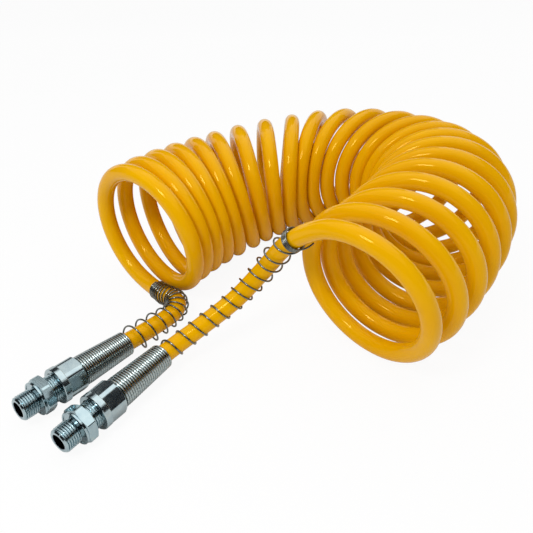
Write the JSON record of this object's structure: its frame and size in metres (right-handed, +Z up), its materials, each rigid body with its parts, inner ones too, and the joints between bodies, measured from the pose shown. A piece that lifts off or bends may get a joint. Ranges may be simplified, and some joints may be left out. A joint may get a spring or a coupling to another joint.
{
  "type": "coiled air hose",
  "caption": "Springy coiled air hose bent in an arch, with straight threaded swivel-nut fittings and coil spring guards at its two ends.",
  "frame": {"origin": "on the floor, under the middle of the whole hose's bounding box", "axes": "+Z up, +X to the right and -Y toward the viewer of the picture; the arch of the coil opens toward -Y"},
  "size_m": [0.3589, 0.3389, 0.1186],
  "materials": {
    "hose": "glossy golden yellow polyamide",
    "zinc": "bright zinc plate over turned steel",
    "zinc_nut": "bright zinc plate over milled steel",
    "spring_wire": "zinc-plated spring wire",
    "ring_steel": "hardened steel, plain",
    "brass_insert": "drawn brass"
  },
  "bodies": {
    "hose": {"hose_coil": "hose", "left_tube_insert": "brass_insert", "left_cutting_ring": "ring_steel", "left_hose_end": "hose", "left_tail": "hose", "left_tail_spring": "spring_wire", "front_tube_insert": "brass_insert", "front_cutting_ring": "ring_steel", "front_hose_end": "hose", "front_tail": "hose", "front_tail_spring": "spring_wire"},
    "left_nut_set": {"left_nut": "zinc_nut", "left_guard_spring": "spring_wire"},
    "left_connector_set": {"left_connector": "zinc"},
    "front_nut_set": {"front_nut": "zinc_nut", "front_guard_spring": "spring_wire"},
    "front_connector_set": {"front_connector": "zinc"}
  },
  "joints": [
    {"name": "left_nut_turn", "type": "hinge", "parent": "hose", "child": "left_nut_set", "pos_m": [-0.15429, -0.11662, 0.01218], "axis": [0.6289, 0.7767, -0.0349], "range_deg": [0, 1800]},
    {"name": "left_connector_slide", "type": "slide", "parent": "hose", "child": "left_connector_set", "axis": [-0.6289, -0.7767, 0.0349], "range_m": [0, 0.0076]},
    {"name": "front_nut_turn", "type": "hinge", "parent": "hose", "child": "front_nut_set", "pos_m": [-0.12538, -0.13786, 0.01289], "axis": [0.5664, 0.824, 0.014], "range_deg": [0, 1800]},
    {"name": "front_connector_slide", "type": "slide", "parent": "hose", "child": "front_connector_set", "axis": [-0.5664, -0.824, -0.014], "range_m": [0, 0.0076]}
  ],
  "couplings": [
    {"joint": "left_connector_slide", "follows": "left_nut_turn", "m_per_rad": 0.00023873},
    {"joint": "front_connector_slide", "follows": "front_nut_turn", "m_per_rad": 0.00023873}
  ]
}
